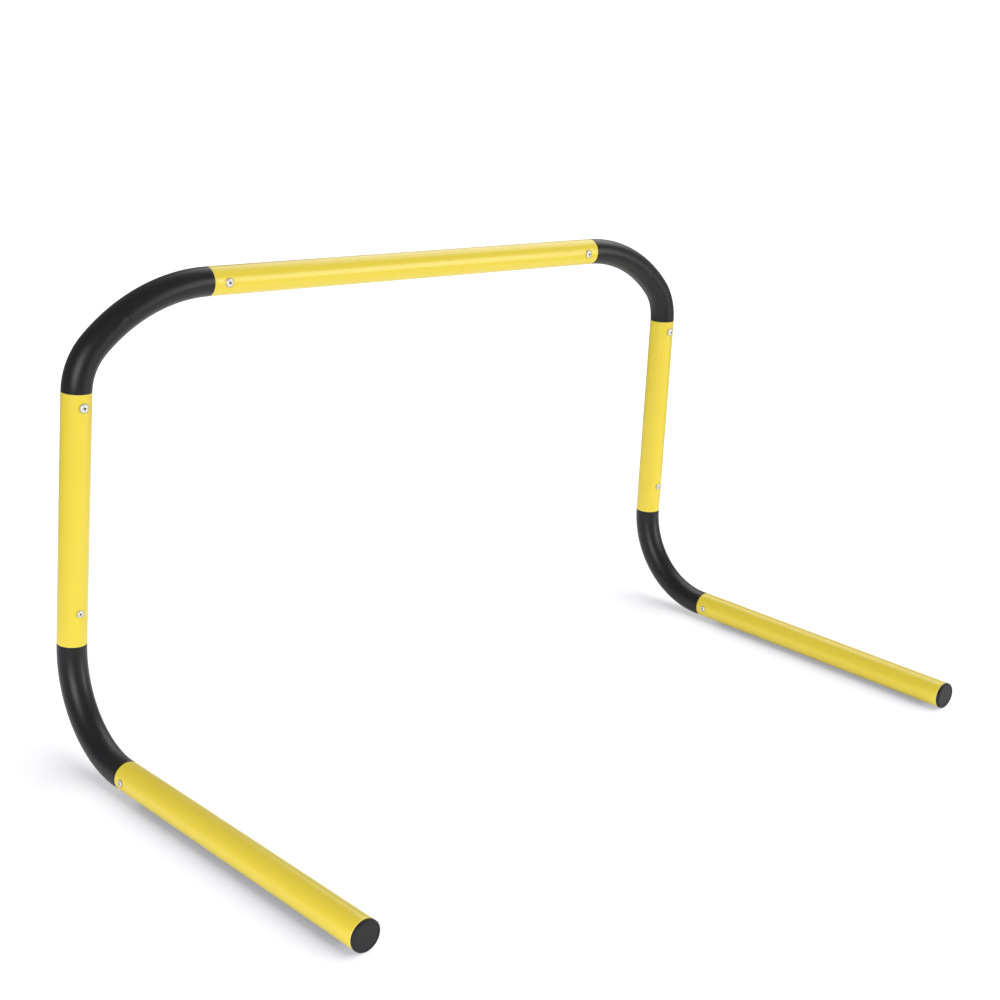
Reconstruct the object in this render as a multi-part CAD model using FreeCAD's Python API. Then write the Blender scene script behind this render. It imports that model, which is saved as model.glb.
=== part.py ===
import FreeCAD, Part
import math
import os

# Speed hurdle: a bar, two uprights and two forward feet of plastic tube, joined by moulded elbows.
# Every elbow plugs into its two tubes and is held by one blind rivet in each; steel bars weigh the feet down.
# Millimetres. X runs along the bar, the feet point to -Y, +Z is up. The origin is on the floor, at the
# middle of the footprint.

# Tubes
tube_od = 25.0
tube_wall = 2.2
bar_length = 460.0
upright_length = 213.0
foot_length = 302.0

# Each upright leans in towards its top by this many degrees
splay = 1.5

# Upper elbows: a wide bend from the bar, then a tight one into the upright. The mould's gate left a shallow
# round mark on the front, at gate_turn degrees round the wide bend from the bar.
wide_radius = 151.0
wide_turn = 45.0
tight_radius = 53.0
upper_spigot = 30.0
gate_dia = 7.0
gate_depth = 0.8
gate_turn = 33.5

# Lower elbows: one bend from the upright, then a short straight collar up to the foot tube
lower_radius = 85.0
lower_collar = 5.0
upright_spigot = 45.0
foot_spigot = 25.0

# Spigots inside the tubes: a hollow core with crush ribs that touch the tube, and a tapered tip.
# The moulding's two cores are straight, so each bore ends a little way into the bend.
spigot_gap = 0.4
spigot_wall = 2.0
core_depth = 12.0
rib_count = 4
rib_width = 1.6
rib_clearance = 0.05
lead_length = 2.5
lead_depth = 0.8

# Foot caps: a bevelled flange as wide as the tube, and a hollow plug with barbs
cap_flange = 3.0
cap_bevel = 1.0
plug_length = 14.0
plug_gap = 0.5
plug_wall = 2.0
barb_count = 2
barb_clearance = 0.05

# Ballast bars, trapped in the feet between the elbow's spigot and the cap's plug
ballast_clearance = 0.3
ballast_play = 0.5

# Blind rivets: large ones at the upper elbows, small ones at the lower elbows
large_shank = 4.0
large_head = 8.0
large_rise = 1.5
large_mandrel = 2.3
small_shank = 3.2
small_head = 6.4
small_rise = 1.2
small_mandrel = 1.9
head_rim = 0.35
shank_clearance = 0.05
set_length = 3.0
set_flare = 0.8
mandrel_clearance = 0.02
mandrel_recess = 0.6

# How far each rivet sits from the seam between its tube and its elbow
bar_inset = 14.0
upright_top_inset = 11.0
upright_foot_inset = 29.0
foot_inset = 9.0

# Sizes and places that follow from the ones above
tube_r = tube_od / 2
bore_r = tube_r - tube_wall
core_r = bore_r - spigot_gap
rib_r = bore_r - rib_clearance
elbow_bore_r = core_r - spigot_wall
tight_turn = 90.0 - splay - wide_turn
foot_reach = lower_radius + lower_collar + foot_length + cap_flange
upright_y = (foot_reach - tube_r) / 2

ORIGIN = FreeCAD.Vector(0, 0, 0)
ALONG = FreeCAD.Vector(1, 0, 0)
BACK = FreeCAD.Vector(0, 1, 0)
UP = FreeCAD.Vector(0, 0, 1)


def polar(angle):
    """Unit vector in the XY plane at an angle in degrees from +X."""
    return FreeCAD.Vector(math.cos(math.radians(angle)), math.sin(math.radians(angle)), 0)


def turned(outline):
    """Solid of revolution about Z from the (radius, height) corners of its half section."""
    corners = [FreeCAD.Vector(radius, 0, height) for radius, height in outline]
    face = Part.Face(Part.makePolygon(corners + corners[:1]))
    return face.revolve(ORIGIN, UP, 360)


def seat(place, heading, facing):
    """Frame of a joint: Z runs along the tube from the seam, X points to the side that carries the rivet."""
    return FreeCAD.Placement(place, FreeCAD.Rotation(facing, heading.cross(facing), heading, "ZXY"))


def put(shape, frame):
    """A copy of a shape, carried from its own frame into the given one."""
    moved = shape.copy()
    moved.Placement = frame.multiply(moved.Placement)
    return moved


def swept(radius, place, heading, inward, runs):
    """Round bar along straight and bent runs, with its end's place and heading.

    A run is (size, turn): a turn of 0 is a straight run of that length, any other turn is a bend of that
    radius, in degrees, towards inward.
    """
    solids = []
    for size, turn in runs:
        if turn == 0:
            solids.append(Part.makeCylinder(radius, size, place, heading))
            place = place + heading * size
            continue
        centre = place + inward * size
        axis = heading.cross(inward)
        disc = Part.Face(Part.Wire(Part.makeCircle(radius, place, heading)))
        solids.append(disc.revolve(centre, axis, turn))
        spin = FreeCAD.Rotation(axis, turn)
        place = centre + spin.multVec(place - centre)
        heading = spin.multVec(heading)
        inward = spin.multVec(inward)
    bar = solids[0]
    for solid in solids[1:]:
        bar = bar.fuse(solid)
    return bar, place, heading


def rivet_hole(inset, shank):
    """Cutter for one rivet hole, through the wall on the +X side only."""
    return Part.makeCylinder(shank / 2 + shank_clearance, tube_od, UP * inset, ALONG)


def tube(length, holes):
    """Straight tube along Z with one hole for each (inset, shank)."""
    shell = turned([(bore_r, 0), (tube_r, 0), (tube_r, length), (bore_r, length)])
    for inset, shank in holes:
        shell = shell.cut(rivet_hole(inset, shank))
    return shell


def spigot(length):
    """Round core with a tapered tip and ribs along it, set half a pitch away from the rivet."""
    post = turned([
        (0, 0),
        (core_r, 0),
        (core_r, length - lead_length),
        (core_r - lead_depth, length),
        (0, length),
    ])
    pitch = 360.0 / rib_count
    crest = math.sqrt(rib_r ** 2 - (rib_width / 2) ** 2)
    for index in range(rib_count):
        outward = polar((index + 0.5) * pitch)
        side = UP.cross(outward) * (rib_width / 2)
        foot = [
            outward * elbow_bore_r + side,
            outward * crest + side,
            outward * crest - side,
            outward * elbow_bore_r - side,
        ]
        rib = Part.Face(Part.makePolygon(foot + foot[:1])).extrude(UP * (length - lead_length))
        post = post.fuse(rib)
    return post


def elbow(place, heading, inward, runs, facing, ends):
    """Bent moulding as wide as the tubes, with a spigot and a straight bore at both ends.

    facing holds the rivet's side at the first and last end, and ends their (spigot, inset, shank).
    """
    body, last_place, last_heading = swept(tube_r, place, heading, inward, runs)
    seats = [seat(place, heading * -1, facing[0]), seat(last_place, last_heading, facing[1])]
    for frame, (length, inset, shank) in zip(seats, ends):
        bore = Part.makeCylinder(elbow_bore_r, length + core_depth, UP * -core_depth)
        body = body.fuse(put(spigot(length), frame))
        body = body.cut(put(bore, frame))
        body = body.cut(put(rivet_hole(inset, shank), frame))
    return body.removeSplitter(), seats


def foot_cap():
    """Cap along Z from the tube's end: bevelled flange outside, barbed hollow plug inside."""
    plug_r = bore_r - plug_gap
    barb_r = bore_r - barb_clearance
    pitch = (plug_length - lead_length) / barb_count
    outline = [
        (0, cap_flange),
        (tube_r - cap_bevel, cap_flange),
        (tube_r, cap_flange - cap_bevel),
        (tube_r, 0),
        (plug_r, 0),
    ]
    for index in range(barb_count):
        outline.append((barb_r, -(index + 0.5) * pitch))
        outline.append((plug_r, -(index + 1) * pitch))
    outline += [
        (plug_r - lead_depth, -plug_length),
        (plug_r - plug_wall, -plug_length),
        (plug_r - plug_wall, 0),
        (0, 0),
    ]
    return turned(outline)


def ballast_bar():
    """Round steel bar along Z, as long as the free stretch of the foot."""
    length = foot_length - foot_spigot - plug_length - 2 * ballast_play
    return Part.makeCylinder(bore_r - ballast_clearance, length)


def rivet_head(head, rise):
    """Dome on the +X side of a tube along Z, with its underside cut to the tube."""
    head_r = head / 2
    dome_rise = rise - head_rim
    dome_r = (head_r ** 2 + dome_rise ** 2) / (2 * dome_rise)
    half_angle = math.asin(head_r / dome_r) / 2
    rim = FreeCAD.Vector(tube_r + head_rim, 0, head_r)
    crown = FreeCAD.Vector(tube_r + rise, 0, 0)
    middle = crown + FreeCAD.Vector(dome_r * (math.cos(half_angle) - 1), 0, dome_r * math.sin(half_angle))
    inner_rim = FreeCAD.Vector(bore_r, 0, head_r)
    inner_crown = FreeCAD.Vector(bore_r, 0, 0)
    edges = [
        Part.Arc(rim, middle, crown).toShape(),
        Part.makeLine(crown, inner_crown),
        Part.makeLine(inner_crown, inner_rim),
        Part.makeLine(inner_rim, rim),
    ]
    dome = Part.Face(Part.Wire(edges)).revolve(ORIGIN, ALONG, 360)
    return dome.cut(Part.makeCylinder(tube_r, 2 * head, UP * -head))


def flare_level(shank):
    """Distance from the tube's axis at which the flared end of a rivet meets the elbow's bore."""
    return math.sqrt(elbow_bore_r ** 2 - (shank / 2 + set_flare) ** 2)


def rivet(shank, head, rise, mandrel):
    """Set blind rivet along X: domed head outside, shank, and an end that flares in the elbow's bore."""
    shank_r = shank / 2
    level = flare_level(shank)
    body = Part.makeCylinder(shank_r, tube_r - level, ALONG * level, ALONG)
    flare = Part.makeCone(shank_r, shank_r + set_flare, set_length, ALONG * level, ALONG * -1)
    body = body.fuse(rivet_head(head, rise)).fuse(flare)
    bore = Part.makeCylinder(mandrel / 2 + mandrel_clearance, tube_od, ORIGIN, ALONG)
    return body.cut(bore).removeSplitter()


def rivet_mandrel(shank, rise, mandrel):
    """Broken-off mandrel along X, from the rivet's blind end to just short of the head's crown."""
    blind = flare_level(shank) - set_length
    return Part.makeCylinder(mandrel / 2, tube_r + rise - mandrel_recess - blind, ALONG * blind, ALONG)


# Upper elbows. The left one starts at the bar's end; its far end says where the upright begins.
upper_runs = [(wide_radius, wide_turn), (tight_radius, tight_turn)]
upper_turn = math.radians(wide_turn + tight_turn)
break_turn = math.radians(wide_turn)
wide_reach = wide_radius * math.sin(break_turn)
wide_drop = wide_radius * (1 - math.cos(break_turn))
elbow_reach = wide_reach + tight_radius * (math.sin(upper_turn) - math.sin(break_turn))
elbow_drop = wide_drop + tight_radius * (math.cos(break_turn) - math.cos(upper_turn))
leg_length = lower_radius + upright_length
lean = math.radians(splay)
bar_z = tube_r + leg_length * math.cos(lean) + elbow_drop
foot_x = bar_length / 2 + elbow_reach + leg_length * math.sin(lean)

bar_end = FreeCAD.Vector(-bar_length / 2, upright_y, bar_z)
upper_left, _ = elbow(
    bar_end,
    ALONG * -1,
    UP * -1,
    upper_runs,
    [BACK * -1, BACK * -1],
    [(upper_spigot, bar_inset, large_shank), (upper_spigot, upright_top_inset, large_shank)],
)

# The gate mark has a flat floor, at its depth below the front of the bend.
gate_angle = math.radians(gate_turn)
gate_x = bar_end.x - wide_radius * math.sin(gate_angle)
gate_z = bar_z - wide_radius * (1 - math.cos(gate_angle))
gate_spot = FreeCAD.Vector(gate_x, upright_y - tube_r + gate_depth, gate_z)
upper_left = upper_left.cut(Part.makeCylinder(gate_dia / 2, tube_r, gate_spot, BACK * -1))

# One leg in its own frame: from the point where their axes meet, the upright runs up Z and the foot to -Y.
lower_elbow, leg_seats = elbow(
    UP * lower_radius,
    UP * -1,
    BACK * -1,
    [(lower_radius, 90.0), (lower_collar, 0)],
    [BACK * -1, ALONG * -1],
    [(upright_spigot, upright_foot_inset, small_shank), (foot_spigot, foot_inset, small_shank)],
)
upright_seat, foot_seat = leg_seats
cap_seat = foot_seat.multiply(FreeCAD.Placement(UP * foot_length, FreeCAD.Rotation()))
ballast_seat = foot_seat.multiply(FreeCAD.Placement(UP * (foot_spigot + ballast_play), FreeCAD.Rotation()))
upright_holes = [(upright_foot_inset, small_shank), (upright_length - upright_top_inset, large_shank)]
leg = {
    "upright": put(tube(upright_length, upright_holes), upright_seat),
    "foot_tube": put(tube(foot_length, [(foot_inset, small_shank)]), foot_seat),
    "foot_cap": put(foot_cap(), cap_seat),
    "ballast_bar": put(ballast_bar(), ballast_seat),
}

# Both legs are the same leg, leaned in opposite ways about the axis of its foot.
nodes = {}
leg_frames = []
for side, sign in (("left", -1), ("right", 1)):
    standing = FreeCAD.Vector(sign * foot_x, upright_y, tube_r)
    frame = FreeCAD.Placement(standing, FreeCAD.Rotation(BACK, -sign * splay))
    leg_frames.append(frame)
    for name, shape in leg.items():
        nodes[side + "_" + name] = put(shape, frame)
    nodes["lower_" + side + "_elbow"] = put(lower_elbow, frame)

bar_seat = seat(bar_end, ALONG, BACK * -1)
bar_holes = [(bar_inset, large_shank), (bar_length - bar_inset, large_shank)]
nodes["top_bar"] = put(tube(bar_length, bar_holes), bar_seat)
nodes["upper_left_elbow"] = upper_left
nodes["upper_right_elbow"] = upper_left.mirror(ORIGIN, ALONG)

# Rivets, two alike to a group: (group, seat of each, inset, rivet sizes)
large = (large_shank, large_head, large_rise, large_mandrel)
small = (small_shank, small_head, small_rise, small_mandrel)
bar_seats = [bar_seat, seat(FreeCAD.Vector(-bar_end.x, upright_y, bar_z), ALONG * -1, BACK * -1)]
upright_seats = [frame.multiply(upright_seat) for frame in leg_frames]
foot_seats = [frame.multiply(foot_seat) for frame in leg_frames]
rivet_groups = [
    ("top_bar", bar_seats, bar_inset, large),
    ("upright_top", upright_seats, upright_length - upright_top_inset, large),
    ("upright_bottom", upright_seats, upright_foot_inset, small),
    ("foot", foot_seats, foot_inset, small),
]
for group, seats, inset, (shank, head, rise, mandrel) in rivet_groups:
    lift = FreeCAD.Placement(UP * inset, FreeCAD.Rotation())
    places = [frame.multiply(lift) for frame in seats]
    body = rivet(shank, head, rise, mandrel)
    stub = rivet_mandrel(shank, rise, mandrel)
    nodes[group + "_rivets"] = Part.makeCompound([put(body, place) for place in places])
    nodes[group + "_rivet_mandrels"] = Part.makeCompound([put(stub, place) for place in places])

os.makedirs("parts", exist_ok=True)
for name, shape in nodes.items():
    shape.exportStep("parts/" + name + ".step")
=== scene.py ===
import math

import bpy
import numpy as np
from mathutils import Matrix, Vector


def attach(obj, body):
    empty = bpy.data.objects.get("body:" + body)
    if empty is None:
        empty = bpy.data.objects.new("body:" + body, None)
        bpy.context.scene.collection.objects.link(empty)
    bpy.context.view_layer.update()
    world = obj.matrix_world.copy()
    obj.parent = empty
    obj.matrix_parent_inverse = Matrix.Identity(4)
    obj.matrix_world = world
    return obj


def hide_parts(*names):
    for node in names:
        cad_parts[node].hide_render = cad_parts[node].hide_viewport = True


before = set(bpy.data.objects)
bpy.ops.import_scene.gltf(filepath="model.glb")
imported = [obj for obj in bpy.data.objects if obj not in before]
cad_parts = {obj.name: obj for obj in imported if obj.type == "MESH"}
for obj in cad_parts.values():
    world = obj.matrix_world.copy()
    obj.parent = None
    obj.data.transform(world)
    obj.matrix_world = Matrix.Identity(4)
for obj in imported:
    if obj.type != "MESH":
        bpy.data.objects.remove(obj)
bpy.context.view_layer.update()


# Top bar: the tube that the athlete clears. Extruded yellow plastic, sawn square and deburred,
# pushed on to an elbow's spigot at each end and held by one blind rivet in front.
tube_radius = 0.0125
tube_bore = 0.0103
cut_round = 0.0005
seam_gap = 0.0001
bar_length = 0.460
bar_y = 0.19125
bar_z = 0.39071
bar_rivet = 0.014
dimple_depth = 0.0002
dimple_reach = 0.006
dimple_span = 0.012
dimple_step = 0.0006
tube_step = 0.005
bore_rings = 24
ring_steps = 144
full_turn = 2 * math.pi
sharp_angle = math.radians(40)
yellow_deep = (0.78, 0.608, 0.042, 1)
yellow_light = (0.83, 0.663, 0.054, 1)
yellow_die_line = (0.73, 0.560, 0.036, 1)
yellow_sawn_and_lit_rim = (0.90, 0.78, 0.22, 1)
front = np.array((0.0, -1.0, 0.0))
down = np.array((0.0, 0.0, -1.0))
along_bar = np.array((1.0, 0.0, 0.0))


class Wire:
    """An output socket of a node tree: sums, differences and products of wires add Math nodes."""

    def __init__(self, tree, socket=None):
        self.tree = tree
        self.socket = socket

    def node(self, kind, settings=None, inputs=None, output=0):
        """A new node of that kind: its settings first, then the values or wires of its inputs."""
        made = self.tree.nodes.new(kind)
        for key, value in (settings or {}).items():
            setattr(made, key, value)
        for key, value in (inputs or {}).items():
            if isinstance(value, Wire):
                self.tree.links.new(value.socket, made.inputs[key])
            else:
                made.inputs[key].default_value = value
        return Wire(self.tree, made.outputs[output] if made.outputs else None)

    def math(self, operation, first, second):
        return self.node("ShaderNodeMath", {"operation": operation}, {0: first, 1: second})

    def __add__(self, other):
        return self.math("ADD", self, other)

    def __radd__(self, other):
        return self.math("ADD", other, self)

    def __rsub__(self, other):
        return self.math("SUBTRACT", other, self)

    def __mul__(self, other):
        return self.math("MULTIPLY", self, other)

    def __rmul__(self, other):
        return self.math("MULTIPLY", other, self)

    def noise(self, vector, scale, detail):
        """Noise from 0 to 1, with scale cells to the metre."""
        return self.node("ShaderNodeTexNoise", {}, {"Vector": vector, "Scale": scale, "Detail": detail})

    def stretched(self, vector, stretch):
        """A vector with its three parts multiplied by the three numbers of stretch."""
        return self.node("ShaderNodeVectorMath", {"operation": "MULTIPLY"}, {0: vector, 1: stretch})

    def blend(self, share, low, high):
        """A colour between low and high, by a share from 0 to 1."""
        sockets = {0: share, 6: low, 7: high}
        return self.node("ShaderNodeMix", {"data_type": "RGBA"}, sockets, output=2)

    def step(self, value, low, high):
        """0 below low, 1 above high, and a smooth step between them."""
        sockets = {"Value": value, "From Min": low, "From Max": high}
        return self.node("ShaderNodeMapRange", {"interpolation_type": "SMOOTHSTEP"}, sockets)

    def relief(self, height, depth):
        """Normals of a relief whose height, from 0 to 1, stands for that depth in metres."""
        return self.node("ShaderNodeBump", {}, {"Height": height, "Distance": depth})


def finish_of(name):
    """A new material and a wire to build its nodes with."""
    material = bpy.data.materials.new(name)
    material.use_nodes = True
    material.node_tree.nodes.clear()
    return material, Wire(material.node_tree)


def coat_with(wire, inputs):
    """Closes a material: a Principled shader with these inputs goes to the output."""
    shader = wire.node("ShaderNodeBsdfPrincipled", {}, inputs)
    wire.node("ShaderNodeOutputMaterial", {}, {"Surface": shader})


def centre_line(start, heading, inward, runs=()):
    """Centre line of a piece: straight, then runs of (length, turn) bent towards inward, then straight.

    At distance d into a run of curvature k the line is at
    place + heading sin(kd) / k + inward (1 - cos(kd)) / k, with the chord form used so that k may be 0.
    Returns a function from distances to points and cross directions, and the line's end and heading there.
    """
    spans = []
    begin, place, ahead, inner = 0.0, start, heading, inward
    for length, turn in [*runs, (math.inf, 0.0)]:
        curve = turn / length
        spans.append((begin, curve, place, ahead, inner))
        if length < math.inf:
            half = turn / 2
            chord = length * np.sinc(half / math.pi)
            place = place + chord * (math.cos(half) * ahead + math.sin(half) * inner)
            ahead, inner = (
                math.cos(turn) * ahead + math.sin(turn) * inner,
                math.cos(turn) * inner - math.sin(turn) * ahead,
            )
            begin = begin + length

    def follow(distance):
        """Points of the line at these distances, and the inward and sideways directions there."""
        d = np.asarray(distance, float)[:, None]
        points = start + d * heading
        inwards = np.broadcast_to(inward, points.shape)
        for first, curve, origin, forward, inner_side in spans:
            past = d - first
            half = curve * past / 2
            chord = past * np.sinc(half / math.pi)
            there = origin + chord * (np.cos(half) * forward + np.sin(half) * inner_side)
            turned = np.cos(2 * half) * inner_side - np.sin(2 * half) * forward
            points = np.where(past > 0, there, points)
            inwards = np.where(past > 0, turned, inwards)
        return points, inwards, np.broadcast_to(np.cross(heading, inward), points.shape)

    return follow, place, ahead


def rings_on(follow, along, radius, around):
    """Rings round a centre line: point + radius (cos(angle) inward + sin(angle) sideways).

    Also gives the same rings as if the line were straight, for patterns that follow the piece.
    """
    points, inward, side = follow(along)
    across = radius * np.cos(around)
    beside = radius * np.sin(around)
    rings = points[:, None] + across[..., None] * inward[:, None] + beside[..., None] * side[:, None]
    straight = np.stack([across, beside, np.broadcast_to(along[:, None], across.shape)], axis=-1)
    return rings, straight


def make_piece(name, node, material, grids, straight, closed, cut_edge=None):
    """Mesh of one or more like grids of rings, with quads from ring to ring and round each ring.

    Closed grids join their last ring to their first. Open ones end in a fan round a pole at both ends.
    """
    count, steps, _ = straight.shape
    row, step = np.meshgrid(np.arange(count if closed else count - 1), np.arange(steps), indexing="ij")
    turn = (step + 1) % steps
    here = row * steps
    below = (row + 1) % count * steps
    quads = np.stack([here + step, here + turn, below + turn, below + step], axis=-1).reshape(-1, 4)
    ring = np.arange(steps)
    beside = (ring + 1) % steps
    last = (count - 1) * steps
    pole = np.full(steps, count * steps)
    fans = np.concatenate(
        [np.stack([pole, beside, ring], axis=-1), np.stack([pole + 1, last + ring, last + beside], axis=-1)]
    )

    def with_poles(grid):
        """The points of a grid in one list, and after them the middles of its end rings if it is open."""
        middles = [] if closed else [grid[:1].mean(axis=1), grid[-1:].mean(axis=1)]
        return np.concatenate([grid.reshape(-1, 3), *middles])

    points = [with_poles(grid) for grid in grids]
    patterns = [with_poles(straight)] * len(grids)
    faces = []
    for base in np.arange(len(grids)) * len(points[0]):
        faces += (quads + base).tolist()
        faces += [] if closed else (fans + base).tolist()
    mesh = bpy.data.meshes.new(name)
    mesh.from_pydata(np.concatenate(points).tolist(), [], faces)
    mesh.shade_smooth()
    mesh.set_sharp_from_angle(angle=sharp_angle)
    pattern = mesh.attributes.new("straight", "FLOAT_VECTOR", "POINT")
    pattern.data.foreach_set("vector", np.concatenate(patterns).astype(np.float32).ravel())
    if cut_edge is not None:
        edge = mesh.attributes.new("cut_edge", "FLOAT", "POINT")
        edge.data.foreach_set("value", np.repeat(cut_edge, steps).astype(np.float32))
    mesh.materials.append(material)
    piece = bpy.data.objects.new(name, mesh)
    bpy.context.scene.collection.objects.link(piece)
    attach(piece, "root")
    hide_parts(node)


def spaced(begin, end, step, close=()):
    """Values from begin to end, about a step apart, finer where close says (middle, half width, step)."""
    even = np.linspace(begin, end, max(2, round((end - begin) / step) + 1))
    fine = [np.arange(middle - half, middle + half, small) for middle, half, small in close]
    marks = np.unique(np.concatenate([even, *fine]).round(7))
    return marks[(marks >= begin) & (marks <= end)]


def quarter_round(along, radius, size, first):
    """Distances and radii of a quarter circle about (along, radius), turning back from the angle first."""
    angle = first - np.linspace(0, math.pi / 2, 5)
    return along + size * np.cos(angle), radius + size * np.sin(angle)


def tube_rings(follow, length, rivets):
    """Wall of a tube as one closed profile: along the outside, round the far cut, back through the bore.

    A rivet at angle 0 draws the outside in by depth times exp(-(distance / reach) squared).
    """
    around = np.linspace(0, full_turn, ring_steps, endpoint=False)
    begin, end = seam_gap, length - seam_gap
    close = [(spot, dimple_span, dimple_step) for spot in rivets]
    outside = spaced(begin + cut_round, end - cut_round, tube_step, close)[1:-1]
    bore = np.linspace(end - cut_round, begin + cut_round, bore_rings)
    far_along, far_radius = quarter_round(end - cut_round, tube_radius - cut_round, cut_round, math.pi / 2)
    near_along, near_radius = quarter_round(begin + cut_round, tube_radius - cut_round, cut_round, math.pi)
    along = np.concatenate([outside, far_along, [end], bore, [begin], near_along])
    radius = np.concatenate(
        [
            np.full(len(outside), tube_radius),
            far_radius,
            [tube_bore + cut_round],
            np.full(len(bore), tube_bore),
            [tube_bore + cut_round],
            near_radius,
        ]
    )
    # The rounded cut edges and the cut face are paled: partly a sawn whitening, and partly a painted
    # highlight for the lit rim at each seam.
    sawn_and_lit_rim_share = [0.0, 0.5, 1.0, 1.0, 1.0, 1.0]
    cut = np.concatenate([np.zeros(len(outside)), sawn_and_lit_rim_share, np.zeros(len(bore)), sawn_and_lit_rim_share[::-1]])
    skin = (radius > tube_radius - 2 * cut_round)[:, None]
    aside = np.angle(np.exp(1j * around)) * tube_radius
    drawn = sum(np.exp(-((along[:, None] - spot) ** 2 + aside**2) / dimple_reach**2) for spot in rivets)
    rings, straight = rings_on(follow, along, radius[:, None] - skin * drawn * dimple_depth, around)
    return rings, straight, cut


yellow, wire = finish_of("yellow_extruded_plastic")
lie = wire.node("ShaderNodeAttribute", {"attribute_name": "straight"}, output=1)
sawn_and_lit_rim = wire.node("ShaderNodeAttribute", {"attribute_name": "cut_edge"}, output=2)
die_lines = wire.noise(wire.stretched(lie, (1500.0, 1500.0, 5.0)), 1.0, 3.0)
cloud = wire.noise(lie, 28.0, 3.0)
peel = wire.noise(lie, 900.0, 2.0)
tone = wire.blend(cloud, yellow_deep, yellow_light)
tone = wire.blend(die_lines * 0.35, tone, yellow_die_line)
# Painted highlight: the rounded cut edge is paled towards a light yellow, partly sawn whitening and partly
# the lit rim at the seam.
tone = wire.blend(sawn_and_lit_rim * 0.75, tone, yellow_sawn_and_lit_rim)
coat_with(
    wire,
    {
        "Base Color": tone,
        "Roughness": wire.noise(lie, 60.0, 3.0) * 0.12 + 0.25,
        "Normal": wire.relief(die_lines * 0.5 + peel * 0.5, 0.00004),
        "Specular IOR Level": 0.5,
    },
)

bar_end = np.array((-bar_length / 2, bar_y, bar_z))
follow, _, _ = centre_line(bar_end, along_bar, front)
rings, straight, cut = tube_rings(follow, bar_length, [bar_rivet, bar_length - bar_rivet])
make_piece("yellow_top_bar", "top_bar", yellow, [rings], straight, True, cut)


# Upper elbows: carry the bar on the uprights. Black moulded plastic, bent on two radii and flush with the
# tubes, with a cored spigot at each end that the tubes are pushed on to, and a round gate mark in front.
wide_bend = 0.151
wide_turn = math.radians(45)
tight_bend = 0.053
tight_turn = math.radians(43.5)
upper_spigot = 0.030
spigot_radius = 0.0099
core_radius = 0.0079
core_depth = 0.012
lead_length = 0.0025
lead_depth = 0.0008
rib_height = 0.00035
rib_half = 0.0008
rib_flank = 0.0003
core_rings = 10
grip_rings = 20
elbow_step = 0.002
shoulder_round = 0.0004
parting_height = 0.00006
parting_half = 0.00025
parting_span = 0.09
parting_step = 0.012
gate_radius = 0.0035
gate_flank = 0.0003
gate_floor = tube_radius - 0.0008
gate_turn = math.radians(33.5)
gate_span = 0.005
gate_step = 0.00025
gate_span_round = 0.36
gate_step_round = 0.02
black_deep = (0.0065, 0.0065, 0.0069, 1)
black_light = (0.0100, 0.0100, 0.0104, 1)


def spigot_profile(reach):
    """Distances out from the seam, radii and rib shares, from the bore's blind end to the shoulder."""
    bore = np.linspace(-core_depth, reach, core_rings)
    grip = np.linspace(reach - lead_length, 0, grip_rings)
    along = np.concatenate([bore, [reach], grip])
    tip = spigot_radius - lead_depth
    radius = np.concatenate([np.full(core_rings, core_radius), [tip], np.full(grip_rings, spigot_radius)])
    share = np.concatenate([np.zeros(core_rings + 1), np.ones(grip_rings)])
    return along, radius, share


def elbow_rings(follow, length, near_spigot, far_spigot, close, close_turns):
    """Skin of an elbow: from one bore's blind end over its spigot and the bend to the other bore's end.

    The spigots carry four ribs of trapezoid section. The body carries a fine ridge where the mould halves
    met, height times exp(-(distance / half width) squared), on the inner and the outer side of the bend.
    """
    halves = [(turn, parting_span, parting_step) for turn in (0.0, math.pi, full_turn)]
    around = spaced(0, full_turn, full_turn / ring_steps, halves + close_turns)[:-1]
    near_along, near_radius, near_share = spigot_profile(near_spigot)
    far_along, far_radius, far_share = spigot_profile(far_spigot)
    body = spaced(shoulder_round, length - shoulder_round, elbow_step, close)[1:-1]
    rim = tube_radius - shoulder_round
    first = quarter_round(shoulder_round, rim, shoulder_round, math.pi)
    second = quarter_round(length - shoulder_round, rim, shoulder_round, math.pi / 2)
    along = np.concatenate([-near_along, first[0], body, second[0], length + far_along[::-1]])
    flush = np.full(len(body), tube_radius)
    radius = np.concatenate([near_radius, first[1], flush, second[1], far_radius[::-1]])
    smooth = np.zeros(len(first[0]) + len(body) + len(second[0]))
    share = np.concatenate([near_share, smooth, far_share[::-1]])
    off_rib = np.abs(np.angle(np.exp(4j * (around - math.pi / 4)))) / 4 * spigot_radius
    ribs = np.clip((rib_half + rib_flank - off_rib) / rib_flank, 0, 1) * rib_height
    off_parting = np.abs(np.angle(np.exp(2j * around))) / 2 * tube_radius
    ridge = (np.exp(-((off_parting / parting_half) ** 2)) - 1) * parting_height
    outer = (radius > rim)[:, None]
    return rings_on(follow, along, radius[:, None] + share[:, None] * ribs + outer * ridge, around)


black, wire = finish_of("black_moulded_plastic")
lie = wire.node("ShaderNodeAttribute", {"attribute_name": "straight"}, output=1)
grain = wire.noise(lie, 1700.0, 2.0)
flow_marks = wire.noise(wire.stretched(lie, (160.0, 160.0, 22.0)), 1.0, 3.0)
handling = wire.noise(lie, 45.0, 4.0)
coat_with(
    wire,
    {
        "Base Color": wire.blend(flow_marks, black_deep, black_light),
        "Roughness": 0.27 + 0.10 * flow_marks + 0.10 * handling,
        "Normal": wire.relief(grain, 0.00006),
        "Specular IOR Level": 0.32,
    },
)

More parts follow.
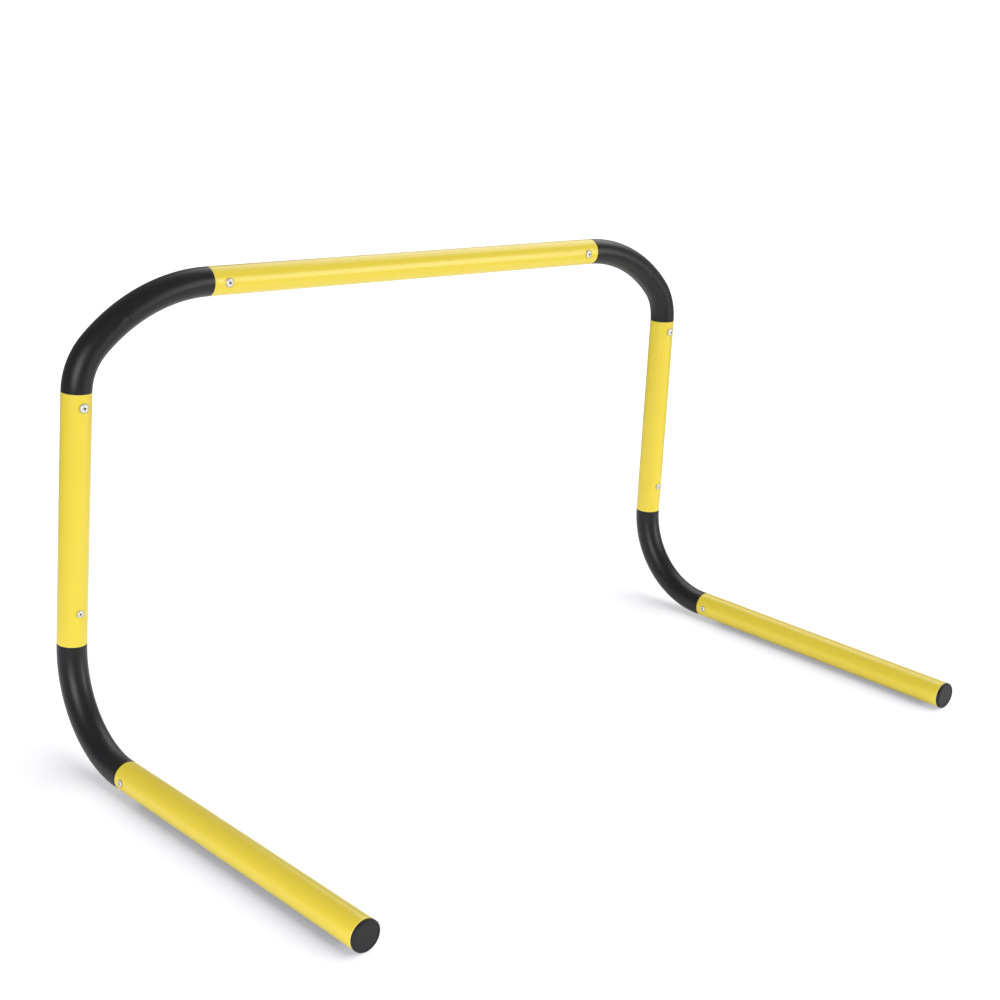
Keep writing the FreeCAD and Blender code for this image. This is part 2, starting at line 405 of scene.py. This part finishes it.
upper_runs = [(wide_bend * wide_turn, wide_turn), (tight_bend * tight_turn, tight_turn)]
upper_length = sum(length for length, _ in upper_runs)
gate_along = wide_bend * gate_turn
upright_tops = {}
for side, sign in (("left", -1), ("right", 1)):
    start = np.array((sign * bar_length / 2, bar_y, bar_z))
    follow, end, heading = centre_line(start, sign * along_bar, down, upper_runs)
    upright_tops[side] = (end, heading)
    near_gate = [(gate_along, gate_span, gate_step)]
    gate_side = [(math.pi * (1 + sign / 2), gate_span_round, gate_step_round)]
    rings, straight = elbow_rings(follow, upper_length, upper_spigot, upper_spigot, near_gate, gate_side)
    gate = follow([gate_along])[0][0]
    from_gate = np.hypot(rings[..., 0] - gate[0], rings[..., 2] - gate[2])
    too_far_out = bar_y - gate_floor - rings[..., 1]
    sunk = np.clip((gate_radius + gate_flank - from_gate) / gate_flank, 0, 1)
    rings[..., 1] += sunk * np.maximum(too_far_out, 0)
    node = f"upper_{side}_elbow"
    make_piece(f"black_{node}", node, black, [rings], straight, False)


# Uprights: hold the bar up and lean in a little towards the top. The same yellow tube as the bar,
# between an upper and a lower elbow, with one blind rivet near each end in front.
upright_length = 0.213
upright_rivets = [0.011, upright_length - 0.029]
for side, (start, heading) in upright_tops.items():
    follow, _, _ = centre_line(start, heading, front)
    rings, straight, cut = tube_rings(follow, upright_length, upright_rivets)
    node = f"{side}_upright"
    make_piece(f"yellow_{node}", node, yellow, [rings], straight, True, cut)


# Lower elbows: turn each leg forward into its foot. Black moulded plastic on one radius, with a short
# straight collar towards the foot, a long spigot up and a short one forward.
lower_bend = 0.085
lower_collar = 0.005
upright_spigot = 0.045
foot_spigot = 0.025
lower_runs = [(lower_bend * math.pi / 2, math.pi / 2), (lower_collar, 0.0)]
lower_length = sum(length for length, _ in lower_runs)
feet = {}
for side, (top, heading) in upright_tops.items():
    follow, end, foot_heading = centre_line(top + upright_length * heading, heading, front, lower_runs)
    rings, straight = elbow_rings(follow, lower_length, upright_spigot, foot_spigot, [], [])
    node = f"lower_{side}_elbow"
    make_piece(f"black_{node}", node, black, [rings], straight, False)
    feet[side] = (end, foot_heading, np.cross(heading, front))


# Foot tubes: lie on the floor and reach forward, so that the hurdle tips over when it is hit from behind.
# The same yellow tube, riveted to the lower elbow on its left side.
foot_length = 0.302
foot_rivet = 0.009
for side, (start, heading, left) in feet.items():
    follow, _, _ = centre_line(start, heading, left)
    rings, straight, cut = tube_rings(follow, foot_length, [foot_rivet])
    node = f"{side}_foot_tube"
    make_piece(f"yellow_{node}", node, yellow, [rings], straight, True, cut)


# Ballast bars: round steel bars shut inside the feet, which keep the hurdle from falling back.
# Drawn steel with the dull skin of the mill, loose between spigot and cap.
steel_dark = (0.20, 0.195, 0.19, 1)
steel_bright = (0.36, 0.36, 0.37, 1)
steel, wire = finish_of("dull_drawn_steel")
place = wire.node("ShaderNodeTexCoord", output=3)
drawing_lines = wire.noise(wire.stretched(place, (900.0, 6.0, 900.0)), 1.0, 3.0)
scale_skin = wire.noise(place, 110.0, 4.0)
coat_with(
    wire,
    {
        "Base Color": wire.blend(scale_skin, steel_dark, steel_bright),
        "Metallic": 1.0,
        "Roughness": 0.38 + 0.22 * scale_skin,
        "Normal": wire.relief(drawing_lines, 0.00005),
    },
)
for side in feet:
    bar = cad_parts[f"{side}_ballast_bar"]
    bar.data.materials.clear()
    bar.data.materials.append(steel)


# Foot caps: close the front ends of the feet. Black moulded plastic, with a thin bevelled flange as wide as
# the tube, a narrow rim round its face, and a hollow plug with two barbs that is pushed into the bore.
cap_flange = 0.003
cap_bevel = 0.0010
cap_rim = 0.0006
cap_sink = 0.0004
plug_length = 0.014
plug_radius = tube_bore - 0.0005
plug_core = plug_radius - 0.002
barb_height = 0.00045
flange_break = 0.0002
face_rings = 14
pole_radius = 0.0008
cap_deep = (0.008, 0.008, 0.0085, 1)
cap_scuffed = (0.014, 0.014, 0.0147, 1)
cap_black, wire = finish_of("black_matt_cap_plastic")
lie = wire.node("ShaderNodeAttribute", {"attribute_name": "straight"}, output=1)
grain = wire.noise(lie, 1500.0, 3.0)
scuffs = wire.noise(lie, 140.0, 4.0)
coat_with(
    wire,
    {
        "Base Color": wire.blend(scuffs, cap_deep, cap_scuffed),
        "Roughness": 0.44 + 0.16 * scuffs,
        "Normal": wire.relief(grain, 0.00007),
        "Specular IOR Level": 0.30,
    },
)
around = np.linspace(0, full_turn, ring_steps, endpoint=False)
barb_along = np.array((-plug_length, -0.0105, -0.0105, -0.0065, -0.0065, -0.0025, 0.0))
barb_radius = plug_radius + barb_height * np.array((-1.0, 1.0, 0.0, 1.0, 0.0, 0.0, 0.0))
side_along = np.array((0.0, flange_break, cap_flange - cap_bevel))
side_radius = tube_radius - np.array((flange_break, 0.0, 0.0))
bevel = np.linspace(0.1, 0.9, 4) * cap_bevel
bevel_along = cap_flange - cap_bevel + bevel
bevel_radius = tube_radius - bevel
rim_radius = tube_radius - cap_bevel - np.array((0.0, cap_rim))
sunk_radius = np.linspace(rim_radius[1] - cap_sink, pole_radius, face_rings)
face_radius = np.concatenate([rim_radius, sunk_radius])
face_along = cap_flange - cap_sink * (face_radius < rim_radius[1])
along = np.concatenate([[0.0, -plug_length], barb_along, side_along, bevel_along, face_along])
radius = np.concatenate([[plug_core, plug_core], barb_radius, side_radius, bevel_radius, face_radius])
for side, (start, heading, left) in feet.items():
    follow, _, _ = centre_line(start + foot_length * heading, heading, left)
    rings, straight = rings_on(follow, along, radius[:, None] + 0 * around, around)
    node = f"{side}_foot_cap"
    make_piece(f"black_{node}", node, cap_black, [rings], straight, False)


# Rivets: aluminium blind rivets set from outside through tube and spigot, larger at the upper joints.
# Each has a low domed head that sits saddle-wise on the tube, a hollow shank and a flared set end.
large = {"head": 0.0040, "rise": 0.0015, "shank": 0.0020, "bore": 0.00117}
small = {"head": 0.0032, "rise": 0.0012, "shank": 0.0016, "bore": 0.00097}
set_bottom = tube_bore - 0.0061
set_length = 0.003
set_flare = 0.0008
set_round = 0.0004
set_lip = 0.0003
rim_round = 0.0002
rim_height = 0.0003
bore_break = 0.0001
dome_rings = 14
under_rings = 6
rivet_steps = 96
rivet_dull = (0.70, 0.68, 0.62, 1)
rivet_bright = (0.82, 0.80, 0.74, 1)
rivet_painted_shade = (0.26, 0.22, 0.13, 1)
aluminium, wire = finish_of("bright_rivet_aluminium")
lie = wire.node("ShaderNodeAttribute", {"attribute_name": "straight"}, output=1)
spin_lines = wire.noise(lie, 2600.0, 3.0)
dull_spots = wire.noise(lie, 700.0, 3.0)
level = wire.node("ShaderNodeSeparateXYZ", {}, {0: lie}, output=2)
# Painted shade: the lowest part of the head's rim, where it meets the tube, is darkened to a brown-black.
painted_contact_shade = 1 - wire.step(level, tube_radius + 0.0001, tube_radius + 0.0005)
tone = wire.blend(dull_spots, rivet_dull, rivet_bright)
coat_with(
    wire,
    {
        "Base Color": wire.blend(painted_contact_shade * 0.75, tone, rivet_painted_shade),
        "Metallic": 0.7,
        "Roughness": 0.44 + 0.16 * dull_spots,
        "Normal": wire.relief(spin_lines, 0.00002),
    },
)


def about_axis(place, out, along_tube, distance, height):
    """Rings about an axis that stands out of a tube, and the same rings about Z for patterns.

    A point is place + height out + distance (cos(angle) along_tube + sin(angle) beside).
    """
    around = np.linspace(0, full_turn, height.shape[1], endpoint=False)
    beside = np.cross(out, along_tube)
    spread = np.cos(around)[:, None] * along_tube + np.sin(around)[:, None] * beside
    rings = place + distance[:, None, None] * spread + height[..., None] * out
    across = distance[:, None] * np.cos(around)
    straight = np.stack([across, distance[:, None] * np.sin(around), height], axis=-1)
    return rings, straight


def rivet_profile(size):
    """Distances from a rivet's axis and heights above the tube's axis, round the wall of the hollow rivet.

    The dome is a cap of a sphere of that rise. Its underside has the height of the tube's cylinder,
    sqrt(tube radius squared - (distance sin(angle)) squared), with the angle measured from along the tube.
    The shank below widens to the set end. The rings are listed backwards, so that the faces look outward.
    """
    head, rise, shank, bore = size["head"], size["rise"], size["shank"], size["bore"]
    around = np.linspace(0, full_turn, rivet_steps, endpoint=False)
    sphere = (head**2 + rise**2) / (2 * rise)
    dome = np.linspace(bore + bore_break, head - rim_round, dome_rings)
    dome_height = tube_radius + rise - sphere + np.sqrt(sphere**2 - dome**2)
    under = np.linspace(head - 2 * rim_round, shank, under_rings)
    flared = shank + set_flare
    distance = np.concatenate(
        [dome, [head, head, head - rim_round], under, [shank, flared, flared - set_lip, bore, bore]]
    )
    rim = np.full(3 + under_rings, tube_radius + rim_height)
    shank_height = [set_bottom + set_length, set_bottom + set_round, set_bottom, set_bottom]
    height = np.concatenate([dome_height, rim, shank_height, [dome_height[0] - bore_break]])[:, None]
    seated = np.concatenate([np.zeros(dome_rings), [0.0, 0.75, 1.0], np.ones(under_rings), np.zeros(5)])
    saddle = np.sqrt(tube_radius**2 - (distance[:, None] * np.sin(around)) ** 2)
    level = height + seated[:, None] * (saddle - height)
    return distance[::-1], level[::-1]


bar_places = [bar_end + bar_rivet * along_bar, bar_end + (bar_length - bar_rivet) * along_bar]
top_inset, bottom_inset = upright_rivets
legs = upright_tops.values()
groups = {
    "top_bar": (large, [(place, front, along_bar) for place in bar_places]),
    "upright_top": (large, [(top + top_inset * leg, front, leg) for top, leg in legs]),
    "upright_bottom": (small, [(top + bottom_inset * leg, front, leg) for top, leg in legs]),
    "foot": (small, [(start + foot_rivet * foot, left, foot) for start, foot, left in feet.values()]),
}
for name, (size, places) in groups.items():
    made = [about_axis(*place, *rivet_profile(size)) for place in places]
    node = f"{name}_rivets"
    walls = [rings for rings, _ in made]
    make_piece(f"bright_{node}", node, aluminium, walls, made[0][1], True)


# Mandrels: the steel stubs left in the rivets after setting, broken off just below the domes.
# Plain steel wire with a rough break at the top.
mandrel_recess = 0.0006
mandrel_play = 0.00002
mandrel_steps = 48
break_share = np.array((1.0, 0.92, 0.6, 0.2))
break_rise = np.array((-0.0001, -0.00005, 0.0, 0.00015))
mandrel_dark = (0.05, 0.05, 0.052, 1)
mandrel_bright = (0.16, 0.16, 0.165, 1)
mandrel_steel, wire = finish_of("dark_mandrel_steel")
lie = wire.node("ShaderNodeAttribute", {"attribute_name": "straight"}, output=1)
broken = wire.noise(lie, 2400.0, 4.0)
coat_with(
    wire,
    {
        "Base Color": wire.blend(broken, mandrel_dark, mandrel_bright),
        "Metallic": 1.0,
        "Roughness": 0.42 + 0.25 * broken,
        "Normal": wire.relief(broken, 0.00015),
    },
)


def mandrel_profile(size):
    """Distances and heights of a stub of wire: a cylinder with a low cone where it broke."""
    top = tube_radius + size["rise"] - mandrel_recess
    distance = (size["bore"] - mandrel_play) * np.concatenate([[0.3, 1.0], break_share])
    height = np.concatenate([[set_bottom, set_bottom], top + break_rise])
    return distance, np.tile(height[:, None], mandrel_steps)


for name, (size, places) in groups.items():
    made = [about_axis(*place, *mandrel_profile(size)) for place in places]
    node = f"{name}_rivet_mandrels"
    stubs = [rings for rings, _ in made]
    make_piece(f"dark_{node}", node, mandrel_steel, stubs, made[0][1], False)


# Floor: a wide pale studio sheet that the feet stand on, only part of the picture.
# Matt paper, white enough to run into the background, and clear from fade_end metres out.
floor_radius = 6.0
floor_steps = 96
fade_start = 0.60
fade_end = 1.10
paper_grey = (0.90, 0.90, 0.91, 1)
paper_white = (0.92, 0.92, 0.93, 1)
paper, wire = finish_of("pale_studio_paper")
place = wire.node("ShaderNodeTexCoord", output=3)
away = wire.node("ShaderNodeVectorMath", {"operation": "LENGTH"}, {0: place}, output=1)
coat_with(
    wire,
    {
        "Base Color": wire.blend(wire.noise(place, 6.0, 3.0), paper_grey, paper_white),
        "Roughness": 0.8 + 0.1 * wire.noise(place, 300.0, 2.0),
        "Specular IOR Level": 0.1,
        "Alpha": 1 - wire.step(away, fade_start, fade_end),
    },
)
turns = np.linspace(0, full_turn, floor_steps, endpoint=False)
rim = np.stack([np.cos(turns), np.sin(turns), 0 * turns], axis=-1) * floor_radius
sheet = bpy.data.meshes.new("studio_floor")
sheet.from_pydata(rim.tolist(), [], [list(range(floor_steps))])
sheet.materials.append(paper)
floor = bpy.data.objects.new("studio_floor", sheet)
bpy.context.scene.collection.objects.link(floor)


# Light: a white surround and three soft boxes, one on each side of the camera and one above and behind.
# A broad light from the right and a weak fill are for the floor alone, where the feet throw soft grey
# shadows to the left and no yellow light.
surround_light = 0.36
seen_white = 1.25
scene = bpy.context.scene
scene.view_settings.view_transform = "Standard"
scene.world = bpy.data.worlds.new("white_surround")
scene.world.use_nodes = True
scene.world.node_tree.nodes.clear()
wire = Wire(scene.world.node_tree)
seen = wire.node("ShaderNodeLightPath", output=0)
strength = seen * (seen_white - surround_light) + surround_light
white = wire.node("ShaderNodeBackground", {}, {"Color": (0.97, 0.98, 1.03, 1), "Strength": strength})
wire.node("ShaderNodeOutputWorld", {}, {"Surface": white})
floor_alone = bpy.data.collections.new("floor_alone")
floor_alone.objects.link(floor)
floor_left_out = bpy.data.collections.new("floor_left_out")
floor_left_out.objects.link(floor)
floor_left_out.collection_objects[0].light_linking.link_state = "EXCLUDE"


def hang(lamp, place, aim, lit):
    """Hangs a lamp at a place, turned to the point aim, and lights only what lit lets in."""
    lamp_object = bpy.data.objects.new(lamp.name, lamp)
    lamp_object.location = place
    lamp_object.rotation_euler = (Vector(aim) - Vector(place)).to_track_quat("-Z", "Y").to_euler()
    lamp_object.light_linking.receiver_collection = lit
    scene.collection.objects.link(lamp_object)
    return lamp_object


boxes = (
    ("left_soft_box", (-1.9, -1.1, 0.80), (0.0, 0.0, 0.2), 1.2, 1.2, 28.5),
    ("right_soft_box", (1.4, -1.65, 0.60), (0.0, 0.0, 0.2), 1.2, 1.2, 22.5),
    ("back_soft_box", (1.3, 0.75, 1.6), (0.0, 0.0, 0.0), 1.8, 1.4, 18.0),
)
for name, place, aim, wide, tall, power in boxes:
    lamp = bpy.data.lights.new(name, "AREA")
    lamp.shape = "RECTANGLE"
    lamp.size = wide
    lamp.size_y = tall
    lamp.energy = power
    hang(lamp, place, aim, floor_left_out)
shaders = bpy.data.collections.new("floor_shaders")
for side in feet:
    for name in (f"black_lower_{side}_elbow", f"yellow_{side}_foot_tube", f"black_{side}_foot_cap"):
        piece = bpy.data.objects[name]
        piece.visible_diffuse = False
        shaders.objects.link(piece)
floor_light = bpy.data.lights.new("floor_light", "SUN")
floor_light.energy = 2.85
floor_light.angle = math.radians(100)
floor_lamp = hang(floor_light, (2.0, -0.9, 2.0), (0.0, 0.0, 0.0), floor_alone)
floor_lamp.light_linking.blocker_collection = shaders
floor_fill = bpy.data.lights.new("floor_fill", "SUN")
floor_fill.energy = 0.85
floor_fill.use_shadow = False
hang(floor_fill, (0.0, 0.0, 2.0), (0.0, 0.0, 0.0), floor_alone)


# Camera: at the photograph's view, found by fitting the hurdle's outline and seams.
# It stands to the front left, a little above the bar, and is rolled slightly.
camera_place = Vector((-1.0353, -0.9907, 0.6385))
azimuth = math.radians(-44.53)
elevation = math.radians(16.60)
roll = math.radians(-3.88)
lens = bpy.data.cameras.new("photo_view")
lens.lens = 61.57
camera = bpy.data.objects.new("photo_view", lens)
facing = Matrix.Rotation(azimuth, 4, "Z") @ Matrix.Rotation(math.pi / 2 - elevation, 4, "X")
camera.matrix_world = Matrix.Translation(camera_place) @ facing @ Matrix.Rotation(-roll, 4, "Z")
scene.collection.objects.link(camera)
scene.camera = camera
